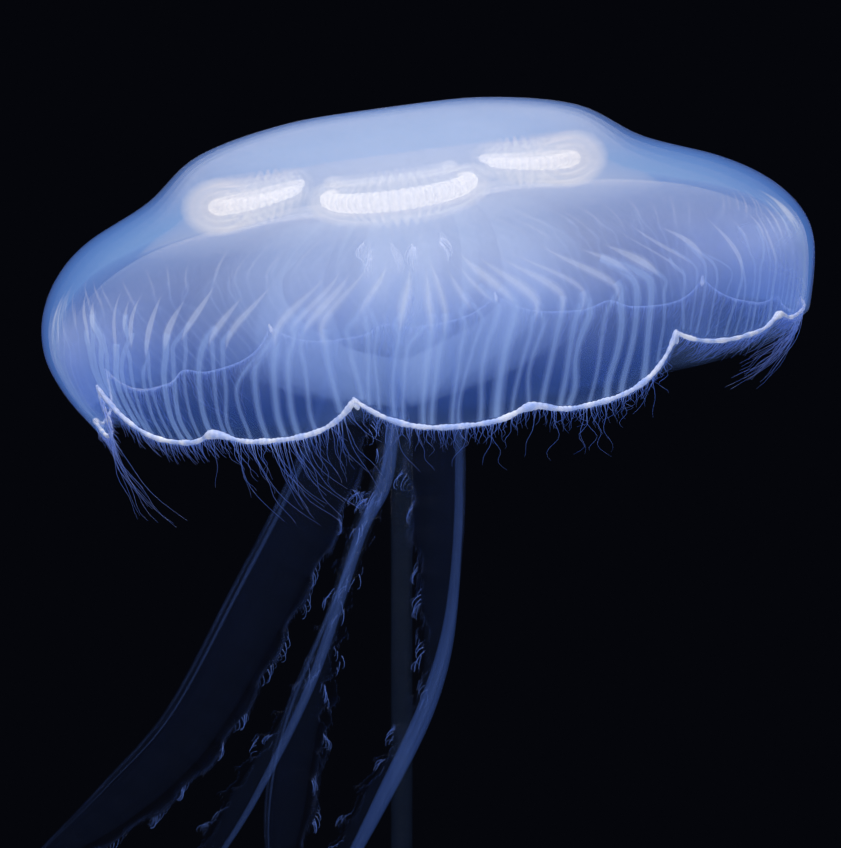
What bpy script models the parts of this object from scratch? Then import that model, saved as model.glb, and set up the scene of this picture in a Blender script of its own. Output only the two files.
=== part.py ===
"""Moon jelly in its swimming pose, held over a plain display stand.

Metres, +Z up.  The origin is the centre of the stand base's underside.
The bell is laid out in its own frame, in bell radii: z runs up the bell's axis from the rim,
and an angle of 0 faces -Y and grows towards +X.  BELL_TO_WORLD leans and places that frame.
"""

import math

import bmesh
import bpy
from mathutils import Matrix, Vector

# Driving dimensions
BELL_RADIUS = 0.125
BELL_HEIGHT = 0.245
BELL_ROLL = math.radians(7.6)
BELL_PITCH = math.radians(8.06)
GAP = 0.0003
LOBES = 8
LOBE_ANGLE = 2 * math.pi / LOBES
FIRST_NOTCH = math.radians(-56.9)
LOBE_STEPS = 12
WALL_STEPS = 7
CROWN_STEPS = 48
CROWN_RINGS = 6

# Outer line of the bell from the apex to just past the rim: radius, height
OUTER_LINE = [
    (0.0, 0.688), (0.242, 0.685), (0.481, 0.635), (0.631, 0.536), (0.806, 0.460),
    (0.907, 0.387), (0.968, 0.300), (0.984, 0.210), (0.956, 0.096), (0.907, 0.002),
    (0.862, -0.065),
]
# Thickness of the jelly at the same places
THICKNESS = [0.115, 0.113, 0.094, 0.086, 0.072, 0.058, 0.046, 0.038, 0.028, 0.020, 0.016]
CROWN_PLACE = 2.55
WIDEST_PLACE = 7.0
RIM_PLACE = 9.0
LINE_STEP = 0.05

# The crown sits a little to one side of the rim, as the bell bends in its stroke
CROWN_SHIFT = -0.064
WIDEST_SHIFT = -0.015
RIM_SHIFT = 0.004
SHIFT_PLACE = 2.0
RIM_TILT = 0.004
TILT_PLACE = 3.0

# Rim: how high each lobe's lower edge hangs, and how high the notches cut
LOBE_EDGE = [0.015, 0.005, 0.077, 0.030, 0.015, 0.020, 0.010, -0.004]
NOTCH_EDGE = [0.145, 0.093, 0.125, 0.085, 0.095, 0.090, 0.100, 0.100]
NOTCH_POWER = 5.0
MID_NOTCH = 0.022
MID_NOTCH_WIDTH = 0.14
CREASE = 0.022
CREASE_PLACE = 4.0
CREASE_POWER = 4

# Fringe of tentacles on each lobe
TENTACLE_ROOT = 0.0016
TENTACLE_TIP = 0.0007
TENTACLE_BENDS = (0.10, 0.55, 1.0)
TENTACLE_CORNERS = ((1, 1), (-1, 1), (-1, -1), (1, -1))
FRINGE_DRIFT = 0.55
FRINGE_LENGTH = [0.022, 0.018, 0.031, 0.031, 0.030, 0.028, 0.031, 0.034]
FRINGE_SHORTEST = 0.72

# Sense organs, one bead in each notch
SENSE_RADIUS = 0.0012
SENSE_DROP = 0.0046
SENSE_SEGMENTS = 8
SENSE_RINGS = 5

# Gonads: four horseshoes under the crown
GONADS = 4
FIRST_GONAD = math.radians(2)
GONAD_CENTRES = [0.355, 0.318, 0.330, 0.318]
GONAD_REACH = 0.135
GONAD_HALF_WIDTH = 0.165
GONAD_SWEEP = math.radians(112)
GONAD_THICK = 0.034
GONAD_TALL = 0.027
GONAD_HEIGHT = 0.568
GONAD_SLOPE = -0.144
GONAD_TILT = 0.045
GONAD_END = 0.45
GONAD_RIPPLE = 0.10
GONAD_STEPS = 18
GONAD_SIDES = 6
TURN_STEP = 0.02

# Mouth column from its top to its flat underside: height, radius
MOUTH_LINE = [(0.569, 0.150), (0.499, 0.120), (0.420, 0.109), (0.370, 0.118)]
MOUTH_BOTTOM = MOUTH_LINE[-1][0]
MOUTH_CORNER = 0.16
MOUTH_STEPS = 24
FIRST_ARM = math.radians(-43)

# Where each arm leaves the mouth: its first two sections, square to the mouth's corners
ARM_ROOT_RADIUS = 0.082
ARM_ROOT_DROP = 0.10
ARM_ROOT_WIDTH = 0.048
ARM_ROOT_THICK = 0.026
ARM_ROOT_TURNS = (43, -47, 43, -47)

# Oral arms, in bell radii from the rim's centre, along the world's axes:
# x, y, z, half width, half thickness, turn about the arm's own length in degrees
ARM_LENGTHS = 3
ARM_SIDES = 8
ARM_STEPS = 6
ARM_PLACE_STEP = 0.02
ARMS = {
    "front_left": [
        (-0.152, -0.160, 0.150, 0.060, 0.026, 55),
        (-0.147, -0.200, -0.231, 0.070, 0.026, 80),
        (-0.218, -0.200, -0.401, 0.072, 0.026, 80),
        (-0.333, -0.200, -0.757, 0.070, 0.024, 82),
        (-0.490, -0.190, -1.041, 0.070, 0.020, 60),
        (-0.622, -0.180, -1.264, 0.030, 0.012, 40),
    ],
    "front_right": [
        (-0.030, -0.150, 0.130, 0.062, 0.026, 20),
        (-0.020, -0.165, -0.226, 0.078, 0.026, 8),
        (-0.016, -0.170, -0.577, 0.060, 0.026, 35),
        (-0.052, -0.215, -0.815, 0.058, 0.024, 75),
        (-0.190, -0.225, -1.079, 0.058, 0.020, 60),
        (-0.304, -0.220, -1.309, 0.026, 0.012, 45),
    ],
    "back_right": [
        (-0.085, 0.075, 0.150, 0.060, 0.026, 90),
        (-0.165, 0.150, -0.250, 0.075, 0.026, 88),
        (-0.294, 0.155, -0.634, 0.080, 0.026, 78),
        (-0.390, 0.155, -0.972, 0.082, 0.022, 35),
        (-0.430, 0.150, -1.200, 0.070, 0.018, 10),
        (-0.453, 0.150, -1.400, 0.028, 0.012, 0),
    ],
    "back_left": [
        (-0.225, 0.060, 0.120, 0.068, 0.026, 10),
        (-0.335, 0.120, -0.248, 0.090, 0.026, 0),
        (-0.499, 0.130, -0.630, 0.100, 0.024, 0),
        (-0.684, 0.130, -0.965, 0.098, 0.020, 5),
        (-0.880, 0.130, -1.165, 0.080, 0.016, 10),
        (-1.100, 0.130, -1.330, 0.028, 0.012, 15),
    ],
}

# Display stand
BASE_RADIUS = 0.075
BASE_THICK = 0.010
BASE_BEVEL = 0.0015
BASE_STEPS = 56
BOSS_RADIUS = 0.0085
BOSS_HEIGHT = 0.0050
ROD_RADIUS = 0.0035
ROD_STEPS = 16

# Plain colour, roughness, metallic and alpha of each material
FINISHES = {
    "crown_jelly": ((0.30, 0.42, 0.80), 0.45, 0.0, 0.55),
    "lobe_jelly": ((0.16, 0.30, 0.72), 0.45, 0.0, 0.55),
    "sense_bead": ((0.85, 0.88, 0.95), 0.40, 0.0, 1.0),
    "gonad_tissue": ((0.82, 0.86, 0.96), 0.45, 0.0, 1.0),
    "mouth_jelly": ((0.35, 0.47, 0.80), 0.40, 0.0, 0.70),
    "arm_jelly": ((0.10, 0.20, 0.50), 0.40, 0.0, 0.50),
    "base_steel": ((0.34, 0.36, 0.40), 0.45, 0.0, 1.0),
    "rod_acrylic": ((0.60, 0.70, 0.85), 0.08, 0.0, 0.30),
}

CROWN_AXIS = Vector((CROWN_SHIFT, 0, MOUTH_BOTTOM))
LEAN = Matrix.Rotation(-BELL_ROLL, 4, "Y") @ Matrix.Rotation(BELL_PITCH, 4, "X")
MOUTH_OFFSET = LEAN @ (CROWN_AXIS * BELL_RADIUS)
BELL_CENTRE = Vector((-MOUTH_OFFSET.x, -MOUTH_OFFSET.y, BELL_HEIGHT))
BELL_TO_WORLD = Matrix.Translation(BELL_CENTRE) @ LEAN @ Matrix.Scale(BELL_RADIUS, 4)


# Curves and numbers

def clear_scene():
    for item in list(bpy.data.objects):
        bpy.data.objects.remove(item, do_unlink=True)


def between(low, high, share):
    return low + (high - low) * share


def spline(points, place):
    """Catmull-Rom through rows of numbers; place runs from 0 to len(points) - 1."""
    last = len(points) - 1
    first = min(int(max(place, 0)), last - 1)
    share = place - first
    rows = [points[min(max(first + step, 0), last)] for step in (-1, 0, 1, 2)]
    cubed = share ** 3
    squared = share ** 2
    weights = (
        (-cubed + 2 * squared - share) / 2,
        (3 * cubed - 5 * squared + 2) / 2,
        (-3 * cubed + 4 * squared + share) / 2,
        (cubed - squared) / 2,
    )
    return [sum(w * row[i] for w, row in zip(weights, rows)) for i in range(len(points[0]))]


def smooth(value):
    value = min(max(value, 0), 1)
    return value * value * (3 - 2 * value)


def spread(index):
    """An even but irregular-looking share from 0 to 1 for the piece with this number."""
    return (index * 0.6180339887) % 1


# The bell's surface

def lobe_share(angle):
    """-1 and 1 at a lobe's two notches, 0 at its middle; and the lobe's number."""
    turns = (angle - FIRST_NOTCH) / LOBE_ANGLE
    lobe = math.floor(turns + 1e-9)
    return 2 * (turns - lobe) - 1, lobe % LOBES


def rim_height(share, lobe):
    notch = NOTCH_EDGE[lobe] if share < 0 else NOTCH_EDGE[(lobe + 1) % LOBES]
    edge = LOBE_EDGE[lobe]
    deep = (notch - edge) * abs(share) ** NOTCH_POWER
    shallow = MID_NOTCH * math.exp(-((share / MID_NOTCH_WIDTH) ** 2))
    return edge + deep + shallow


def place_at_height(height):
    """Where on the outer line, below the widest ring, this height lies."""
    low = WIDEST_PLACE
    high = len(OUTER_LINE) - 1.0
    for _ in range(30):
        middle = (low + high) / 2
        if spline(OUTER_LINE, middle)[1] > height:
            low = middle
        else:
            high = middle
    return (low + high) / 2


def side_shift(place):
    if place < WIDEST_PLACE:
        down = (place - SHIFT_PLACE) / (WIDEST_PLACE - SHIFT_PLACE)
        return between(CROWN_SHIFT, WIDEST_SHIFT, smooth(down))
    return between(WIDEST_SHIFT, RIM_SHIFT, smooth((place - WIDEST_PLACE) / (RIM_PLACE - WIDEST_PLACE)))


def line_direction(place):
    """Way the outer line runs here, as long as the line is for one whole place."""
    ahead = min(place + LINE_STEP, len(OUTER_LINE) - 1)
    behind = max(place - LINE_STEP, 0)
    rise = Vector(spline(OUTER_LINE, ahead)) - Vector(spline(OUTER_LINE, behind))
    return rise / (ahead - behind)


def bell_point(place, angle, share, depth=0.0):
    """A point of the bell in its own frame; depth 0 is the outer face, 1 the inner face."""
    radius, height = spline(OUTER_LINE, place)
    along = line_direction(place).normalized()
    thick = spline([(value,) for value in THICKNESS], place)[0] * depth
    radius += along.y * thick
    height -= along.x * thick
    low = smooth((place - CREASE_PLACE) / (RIM_PLACE - CREASE_PLACE))
    radius *= 1 - CREASE * low * abs(share) ** CREASE_POWER
    tilt = RIM_TILT * smooth((place - TILT_PLACE) / (WIDEST_PLACE - TILT_PLACE))
    across = radius * math.sin(angle)
    return Vector((across + side_shift(place), -radius * math.cos(angle), height + tilt * across))


# Mesh helpers

def new_object(name, work, material, sharp=40):
    bmesh.ops.recalc_face_normals(work, faces=work.faces[:])
    mesh = bpy.data.meshes.new(name)
    work.to_mesh(mesh)
    work.free()
    mesh.shade_smooth()
    mesh.set_sharp_from_angle(angle=math.radians(sharp))
    mesh.materials.append(material)
    item = bpy.data.objects.new(name, mesh)
    bpy.context.collection.objects.link(item)
    return item


def make_material(name):
    colour, roughness, metallic, alpha = FINISHES[name]
    material = bpy.data.materials.new(name)
    material.use_nodes = True
    shader = material.node_tree.nodes["Principled BSDF"]
    shader.inputs["Base Color"].default_value = (*colour, 1)
    shader.inputs["Roughness"].default_value = roughness
    shader.inputs["Metallic"].default_value = metallic
    shader.inputs["Alpha"].default_value = alpha
    return material


def ring(work, points):
    return [work.verts.new(point) for point in points]


def join_rings(work, first, second, closed=True):
    count = len(first)
    faces = []
    for index in range(count if closed else count - 1):
        after = (index + 1) % count
        faces.append(work.faces.new((first[index], first[after], second[after], second[index])))
    return faces


def world(point):
    return BELL_TO_WORLD @ point


# Crown

def make_crown(material):
    """The thick middle of the bell, out to where the lobes begin."""
    work = bmesh.new()
    edges = []
    for depth in (0, 1):
        middle = work.verts.new(world(bell_point(0, 0, 0, depth)))
        rings = []
        for step in range(1, CROWN_RINGS + 1):
            place = CROWN_PLACE * step / CROWN_RINGS
            angles = [2 * math.pi * k / CROWN_STEPS for k in range(CROWN_STEPS)]
            rings.append(ring(work, [world(bell_point(place, a, 0, depth)) for a in angles]))
        for index, vert in enumerate(rings[0]):
            work.faces.new((middle, vert, rings[0][(index + 1) % CROWN_STEPS]))
        for first, second in zip(rings, rings[1:]):
            join_rings(work, first, second)
        edges.append(rings[-1])
    join_rings(work, edges[0], edges[1])
    return new_object("bell_crown", work, material)


# Lobes with their fringe

def lobe_sheet(work, lobe, depth):
    """One face of a lobe, as columns of points from the crown to the rim."""
    top = CROWN_PLACE + GAP / BELL_RADIUS / line_direction(CROWN_PLACE).length
    trim = GAP / (BELL_RADIUS * LOBE_ANGLE * spline(OUTER_LINE, CROWN_PLACE)[0])
    columns = []
    for step in range(LOBE_STEPS + 1):
        share = between(-1 + trim, 1 - trim, step / LOBE_STEPS)
        angle = FIRST_NOTCH + (lobe + (share + 1) / 2) * LOBE_ANGLE
        bottom = place_at_height(rim_height(share, lobe))
        places = [between(top, bottom, row / WALL_STEPS) for row in range(WALL_STEPS + 1)]
        columns.append(ring(work, [world(bell_point(p, angle, share, depth)) for p in places]))
    return columns


def closeness(face, middle, square, first):
    """How well the face's corners lie towards the square's, when its first one goes to this number."""
    return sum((vert.co - middle).dot(square[(k + first) % 4]) for k, vert in enumerate(face.verts))


def hang_tentacle(work, face, length, centre):
    """Draws one tentacle down out of a face of the rim, drifting in under the bell."""
    start = face.calc_center_median()
    inward = centre - start
    inward.z = 0
    inward = inward.normalized()
    around = inward.cross(Vector((0, 0, 1)))
    for share in TENTACLE_BENDS:
        width = between(TENTACLE_ROOT, TENTACLE_TIP, smooth(share))
        made = bmesh.ops.extrude_discrete_faces(work, faces=[face])
        face = made["faces"][0]
        old_middle = face.calc_center_median()
        middle = start + Vector((0, 0, -length * share)) + inward * length * FRINGE_DRIFT * share ** 2
        square = [inward * side + around * turn for side, turn in TENTACLE_CORNERS]
        best = max(range(4), key=lambda first: closeness(face, old_middle, square, first))
        for number, vert in enumerate(face.verts):
            vert.co = middle + square[(number + best) % 4] * width / 2


def make_lobe(lobe, material):
    """One eighth of the bell's side wall, scalloped below, with its tentacles."""
    work = bmesh.new()
    outer = lobe_sheet(work, lobe, 0)
    inner = lobe_sheet(work, lobe, 1)
    for sheet in (outer, inner):
        for first, second in zip(sheet, sheet[1:]):
            join_rings(work, first, second, closed=False)
    for first, second in ((outer[0], inner[0]), (outer[-1], inner[-1])):
        join_rings(work, first, second, closed=False)
    join_rings(work, [c[0] for c in outer], [c[0] for c in inner], closed=False)
    rim_faces = join_rings(work, [c[-1] for c in outer], [c[-1] for c in inner], closed=False)
    bmesh.ops.recalc_face_normals(work, faces=work.faces[:])
    for step in range(1, LOBE_STEPS, 2):
        length = FRINGE_LENGTH[lobe] * between(FRINGE_SHORTEST, 1, spread(step + LOBE_STEPS * lobe))
        hang_tentacle(work, rim_faces[step], length, BELL_CENTRE)
    return new_object(f"bell_lobe_{lobe + 1}", work, material)


def make_sense_bead(lobe, material):
    """A small bead in the notch before this lobe."""
    angle = FIRST_NOTCH + lobe * LOBE_ANGLE
    edge = bell_point(place_at_height(NOTCH_EDGE[lobe]), angle, 1, 0.5)
    work = bmesh.new()
    bmesh.ops.create_uvsphere(
        work, u_segments=SENSE_SEGMENTS, v_segments=SENSE_RINGS, radius=SENSE_RADIUS
    )
    drop = (LEAN @ Vector((0, 0, -SENSE_DROP, 0))).to_3d()
    bmesh.ops.translate(work, verts=work.verts[:], vec=world(edge) + drop)
    return new_object(f"sense_bead_{lobe + 1}", work, material, 80)


# Gonads

def gonad_line(turn, number):
    """Middle of the horseshoe: turn 0 is its outermost point."""
    angle = FIRST_GONAD + number * 2 * math.pi / GONADS
    outward = GONAD_CENTRES[number] + GONAD_REACH * math.cos(turn)
    sideways = GONAD_HALF_WIDTH * math.sin(turn)
    radius = math.hypot(outward, sideways)
    heading = angle + math.atan2(sideways, outward)
    ahead = -radius * math.cos(heading)
    height = GONAD_HEIGHT + GONAD_SLOPE * radius + GONAD_TILT * min(ahead, 0)
    return Vector((radius * math.sin(heading) + CROWN_SHIFT, ahead, height))


def make_gonad(number, material):
    work = bmesh.new()
    rings = []
    for step in range(GONAD_STEPS + 1):
        share = step / GONAD_STEPS
        turn = between(-GONAD_SWEEP, GONAD_SWEEP, share)
        middle = gonad_line(turn, number)
        along = gonad_line(turn + TURN_STEP, number) - gonad_line(turn - TURN_STEP, number)
        across = along.cross(Vector((0, 0, 1))).normalized()
        fullness = between(GONAD_END, 1, math.sqrt(math.sin(math.pi * share)))
        ripple = 1 + GONAD_RIPPLE * math.cos(step * math.pi)
        points = []
        for side in range(GONAD_SIDES):
            round_angle = 2 * math.pi * (side + 0.5) / GONAD_SIDES
            sideways = across * GONAD_THICK * fullness * ripple * math.cos(round_angle)
            upright = Vector((0, 0, GONAD_TALL * fullness * math.sin(round_angle)))
            points.append(world(middle + sideways + upright))
        rings.append(ring(work, points))
    for first, second in zip(rings, rings[1:]):
        join_rings(work, first, second)
    work.faces.new(rings[0])
    work.faces.new(rings[-1])
    return new_object(f"gonad_{number + 1}", work, material, 60)


# Mouth and oral arms

def make_mouth(material):
    """The short column under the crown, with a corner for each arm."""
    work = bmesh.new()
    rings = []
    for height, radius in MOUTH_LINE:
        points = []
        for step in range(MOUTH_STEPS):
            angle = 2 * math.pi * step / MOUTH_STEPS
            reach = radius * (1 + MOUTH_CORNER * math.cos(len(ARMS) * (angle - FIRST_ARM)))
            across = reach * math.sin(angle) + CROWN_SHIFT
            points.append(world(Vector((across, -reach * math.cos(angle), height))))
        rings.append(ring(work, points))
    for first, second in zip(rings, rings[1:]):
        join_rings(work, first, second)
    work.faces.new(rings[0])
    work.faces.new(rings[-1])
    return new_object("mouth", work, material, 50)


def arm_rows(number, name):
    """The arm's rows in metres: three coordinates, half width, half thickness, turn."""
    angle = FIRST_ARM + number * 2 * math.pi / len(ARMS)
    root = Vector((
        ARM_ROOT_RADIUS * math.sin(angle) + CROWN_SHIFT,
        -ARM_ROOT_RADIUS * math.cos(angle),
        MOUTH_BOTTOM - GAP / BELL_RADIUS,
    ))
    below = root - Vector((0, 0, ARM_ROOT_DROP))
    root_width = ARM_ROOT_WIDTH * BELL_RADIUS
    root_thick = ARM_ROOT_THICK * BELL_RADIUS
    rows = []
    for point in (root, below):
        rows.append((*world(point), root_width, root_thick, ARM_ROOT_TURNS[number]))
    for x, y, z, wide, thick, turn in ARMS[name]:
        spot = BELL_CENTRE + Vector((x, y, z)) * BELL_RADIUS
        rows.append((*spot, wide * BELL_RADIUS, thick * BELL_RADIUS, turn))
    return rows


def arm_section(rows, place):
    """Points round the arm at this place on its rows."""
    last = len(rows) - 1
    middle = Vector(spline(rows, place)[:3])
    ahead = Vector(spline(rows, min(place + ARM_PLACE_STEP, last))[:3])
    behind = Vector(spline(rows, max(place - ARM_PLACE_STEP, 0))[:3])
    wide, thick, turn = spline(rows, place)[3:]
    along = (ahead - behind).normalized()
    across = along.cross(Vector((0, 1, 0))).normalized()
    across = Matrix.Rotation(math.radians(turn), 3, along) @ across
    upright = along.cross(across)
    points = []
    for side in range(ARM_SIDES):
        angle = 2 * math.pi * side / ARM_SIDES
        points.append(middle + across * wide * math.cos(angle) + upright * thick * math.sin(angle))
    return points


def make_arm_length(rows, name, part, material):
    """One length of an arm, from where the length above it ends."""
    last = len(rows) - 1
    start = last * part / ARM_LENGTHS
    end = last * (part + 1) / ARM_LENGTHS
    if part < ARM_LENGTHS - 1:
        before = Vector(spline(rows, end - ARM_PLACE_STEP)[:3])
        step = (Vector(spline(rows, end)[:3]) - before).length
        end -= ARM_PLACE_STEP * GAP / step
    work = bmesh.new()
    rings = []
    for step in range(ARM_STEPS + 1):
        rings.append(ring(work, arm_section(rows, between(start, end, step / ARM_STEPS))))
    for first, second in zip(rings, rings[1:]):
        join_rings(work, first, second)
    work.faces.new(rings[0])
    work.faces.new(rings[-1])
    return new_object(f"arm_{name}_{part + 1}", work, material, 60)


# Stand

def make_base(material):
    """A flat disc with a low boss in the middle that holds the rod."""
    work = bmesh.new()
    boss_top = BASE_THICK + BOSS_HEIGHT
    levels = (
        (0, BASE_RADIUS - BASE_BEVEL),
        (BASE_BEVEL, BASE_RADIUS),
        (BASE_THICK - BASE_BEVEL, BASE_RADIUS),
        (BASE_THICK, BASE_RADIUS - BASE_BEVEL),
        (BASE_THICK, BOSS_RADIUS),
        (boss_top - BASE_BEVEL, BOSS_RADIUS),
        (boss_top, BOSS_RADIUS - BASE_BEVEL),
    )
    angles = [2 * math.pi * k / BASE_STEPS for k in range(BASE_STEPS)]
    rings = []
    for height, radius in levels:
        points = [(radius * math.cos(a), radius * math.sin(a), height) for a in angles]
        rings.append(ring(work, points))
    for first, second in zip(rings, rings[1:]):
        join_rings(work, first, second)
    work.faces.new(rings[0])
    work.faces.new(rings[-1])
    return new_object("stand_base", work, material, 30)


def make_rod(material):
    """An upright rod from the boss to the flat underside of the mouth, cut to its slope."""
    up = (LEAN @ Vector((0, 0, 1, 0))).to_3d()
    seat = world(CROWN_AXIS) - up * GAP
    work = bmesh.new()
    lower = []
    upper = []
    for step in range(ROD_STEPS):
        angle = 2 * math.pi * step / ROD_STEPS
        x = ROD_RADIUS * math.cos(angle)
        y = ROD_RADIUS * math.sin(angle)
        top = seat.z - (up.x * (x - seat.x) + up.y * (y - seat.y)) / up.z
        lower.append((x, y, BASE_THICK + BOSS_HEIGHT + GAP))
        upper.append((x, y, top))
    rings = [ring(work, lower), ring(work, upper)]
    join_rings(work, rings[0], rings[1])
    work.faces.new(rings[0])
    work.faces.new(rings[1])
    return new_object("stand_rod", work, material, 30)


def main():
    clear_scene()
    finish = {name: make_material(name) for name in FINISHES}
    make_crown(finish["crown_jelly"])
    for lobe in range(LOBES):
        make_lobe(lobe, finish["lobe_jelly"])
        make_sense_bead(lobe, finish["sense_bead"])
    for number in range(GONADS):
        make_gonad(number, finish["gonad_tissue"])
    make_mouth(finish["mouth_jelly"])
    for number, name in enumerate(ARMS):
        rows = arm_rows(number, name)
        for part in range(ARM_LENGTHS):
            make_arm_length(rows, name, part, finish["arm_jelly"])
    make_base(finish["base_steel"])
    make_rod(finish["rod_acrylic"])


main()
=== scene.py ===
"""Looks of the moon jelly: clear blue bell, milky pouches and canals, gonads, frilled arms, tentacles.

Metres, +Z up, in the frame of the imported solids.  The bell is laid out in its own frame, in bell
radii: z runs up its axis from the rim, and an angle of 0 faces -Y and grows towards +X.  A place
is a number along the bell's outer line, 0 at the crown's middle and about 9 at the rim.
"""

import math
import random

import bpy
import numpy as np
from mathutils import Matrix, Vector


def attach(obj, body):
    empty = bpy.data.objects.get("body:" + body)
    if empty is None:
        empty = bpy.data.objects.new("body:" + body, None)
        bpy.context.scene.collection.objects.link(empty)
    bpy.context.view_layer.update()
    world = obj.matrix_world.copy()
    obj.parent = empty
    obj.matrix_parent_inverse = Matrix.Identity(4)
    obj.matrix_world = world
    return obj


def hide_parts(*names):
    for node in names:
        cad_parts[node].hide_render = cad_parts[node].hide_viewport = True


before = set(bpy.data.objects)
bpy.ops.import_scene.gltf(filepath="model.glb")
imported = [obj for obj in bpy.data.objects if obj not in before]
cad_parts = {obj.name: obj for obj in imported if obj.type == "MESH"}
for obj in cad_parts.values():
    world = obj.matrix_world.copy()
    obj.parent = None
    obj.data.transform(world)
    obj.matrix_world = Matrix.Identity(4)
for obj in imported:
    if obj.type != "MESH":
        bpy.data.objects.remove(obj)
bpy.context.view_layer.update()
scene = bpy.context.scene
UP = np.array([0.0, 0.0, 1.0])
TURN = 2 * math.pi

# The bell's own sizes, as in the solids
BELL_RADIUS = 0.125
BELL_ROLL = math.radians(7.6)
BELL_PITCH = math.radians(8.06)
LOBES = 8
LOBE_ANGLE = TURN / LOBES
FIRST_NOTCH = math.radians(-56.9)
# Radius and height of the outer line at each place, and how thick the jelly is there
OUTER_LINE = [
    (0.0, 0.688), (0.242, 0.685), (0.481, 0.635), (0.631, 0.536), (0.806, 0.460),
    (0.907, 0.387), (0.968, 0.300), (0.984, 0.210), (0.956, 0.096), (0.907, 0.002),
    (0.862, -0.065),
]
THICKNESS = [0.115, 0.113, 0.094, 0.086, 0.072, 0.058, 0.046, 0.038, 0.028, 0.020, 0.016]
CROWN_PLACE = 2.0
WIDEST_PLACE = 7.0
RIM_PLACE = 9.0
# How far the crown, the widest ring and the rim lie off the axis along X, and the rim's own tilt
CROWN_SHIFT = -0.064
WIDEST_SHIFT = -0.015
RIM_SHIFT = 0.004
RIM_TILT = 0.004
TILT_PLACES = (3.0, 7.0)
# Height of the rim in each lobe's middle and in its first notch, and how pointed the notches are;
# then the small notch in a lobe's middle, and how deep the wall is creased between the lobes
LOBE_EDGE = [0.015, 0.005, 0.077, 0.030, 0.015, 0.020, 0.010, -0.004]
NOTCH_EDGE = [0.145, 0.093, 0.125, 0.085, 0.095, 0.090, 0.100, 0.100]
NOTCH_POWER = 5.0
MID_NOTCH = 0.022
MID_NOTCH_WIDTH = 0.14
CREASE = 0.022
CREASE_PLACE = 4.0

# Skin of the bell: one face closes its top at TOP_SHARE of the way down, and UPPER_ROWS is the share
# of its rows above the widest place
COLUMNS = 384
OUTER_ROWS = 70
INNER_ROWS = 50
TOP_SHARE = 0.004
UPPER_ROWS = 0.72
# Rows round the rim's edge, and how far the edge bulges past the rim, in places
EDGE_ROWS = 4
EDGE_BULGE = 0.08
# How much clearer the wall is low on the side that faces +Y: painted shade, so that the lamps' light on the
# inside of that far wall shows less
SKIN_BACK_PAINTED_SHADE = 0.80
SKIN_BACK_PLACES = (4.5, 8.0)

# Milky middle layers of the jelly: how deep the middle one lies below the outer face, by place, and
# how deep each of them lies as a share of that
CORE_DEPTH = [0.12, 0.14, 0.22, 0.40, 0.60, 0.80, 0.88, 0.92, 0.92, 0.92, 0.92]
CORE_LAYERS = (0.45, 0.90, 1.35)
CORE_ROWS = 60
CORE_END = 8.6
# How uneven the milk's lower edge is, as a share of the way to the rim; how much lower it lies on the
# sides, below each gonad and at EDGE_CLOUD_ANGLE; and how much higher at the back, painted shade that
# keeps the lamps' light on that far wall from showing
CORE_STREAKS = 0.022
STREAK_PLACES = (3.5, 5.5)
SIDE_CLOUD = 0.20
GONAD_CLOUD = 0.05
EDGE_CLOUD = 0.04
EDGE_CLOUD_ANGLE = math.radians(-30)
BACK_PAINTED_SHADE = 0.13
# How dense the milk is round the bell: a least amount, with more by each gonad, at the front and
# on the side that faces +X; the more at the front is painted light, so that the front shows brighter
MILK_PLACES = (1.8, 3.8)
MILK_LEAST = 0.62
MILK_BY_GONAD = 0.24
FRONT_PAINTED_LIGHT = 0.20
MILK_BY_RIGHT = 0.20
# On both sides, how much denser it gets low on the wall, and how much thinner on the shoulders
LOW_MILK = 4.8
LOW_PLACES = (5.4, 7.2)
SHOULDER_THIN = 0.55
SHOULDER_START = (2.4, 3.6)
SHOULDER_END = (4.9, 6.2)

# Floor of the stomach under the gonads, out to where it fades on the wall: radius, height
FLOOR_LINE = [
    (0.115, 0.430), (0.30, 0.452), (0.46, 0.444), (0.60, 0.425), (0.72, 0.392),
    (0.825, 0.340), (0.900, 0.268), (0.930, 0.180),
]
FLOOR_ROWS = 44
FLOOR_CREASE = 0.02
FLOOR_STREAKS = 0.035
# It sags under each pouch: the pouches' radius, how far round that, and how deep
POUCH_CENTRE = 0.38
POUCH_REACH = 0.16
POUCH_SAG = 0.012
# The stomach lies between these places of the crown's inner face and this row of the floor
STOMACH_ROWS = 14
STOMACH_PLACES = (0.15, 3.2)
STOMACH_FLOOR_END = 3.6

# Canals: they fan out from each gonad, run down the wall and lean aside towards the rim
CANALS_PER_LOBE = 21
LOBE_REACH = 0.965
CANAL_STRAY = 0.022
CANAL_FIRM = [1.0, 1.0, 0.55, 0.40, 0.40, 0.40, 0.40, 0.30]
CANAL_WIDTH = 0.00150
ROOT_WIDTH = 0.00215
# Cross-section of a canal's cloud, as shares of its half width: sideways, outward
SOFT_SECTION = [
    (-1.0, 0.0), (-0.5, -0.13), (0.0, -0.55), (0.5, -0.13),
    (1.0, 0.0), (0.5, 0.13), (0.0, 0.55), (-0.5, 0.13),
]
CANAL_DEPTH = 0.62
FAN = 0.55
FAN_PLACES = (4.8, 6.6)
TWIST = math.radians(-5)
TWIST_PLACE = 6.3
# Where the broad roots start and where they fork, and how the fine lines wave and kink
ROOT_PLACES = (4.9, 5.4)
FORK_PLACES = (5.6, 6.5)
CANAL_WAVE = 0.020
CANAL_KINK = 0.035
KINK_PLACES = (6.1, 6.9)

# Gonads, from the front one round by +X: each is a horseshoe, open towards the bell's middle
GONADS = 4
FIRST_GONAD = math.radians(2)
GONAD_CENTRES = [0.355, 0.318, 0.330, 0.318]
GONAD_REACH = 0.135
GONAD_HALF_WIDTH = 0.165
GONAD_SWEEP = [math.radians(degrees) for degrees in (112, 126, 118, 126)]
GONAD_THICK = 0.034
GONAD_TALL = 0.027
GONAD_HEIGHT = 0.568
GONAD_SLOPE = -0.144
GONAD_TILT = 0.045
GONAD_PLEATS = 34
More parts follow.
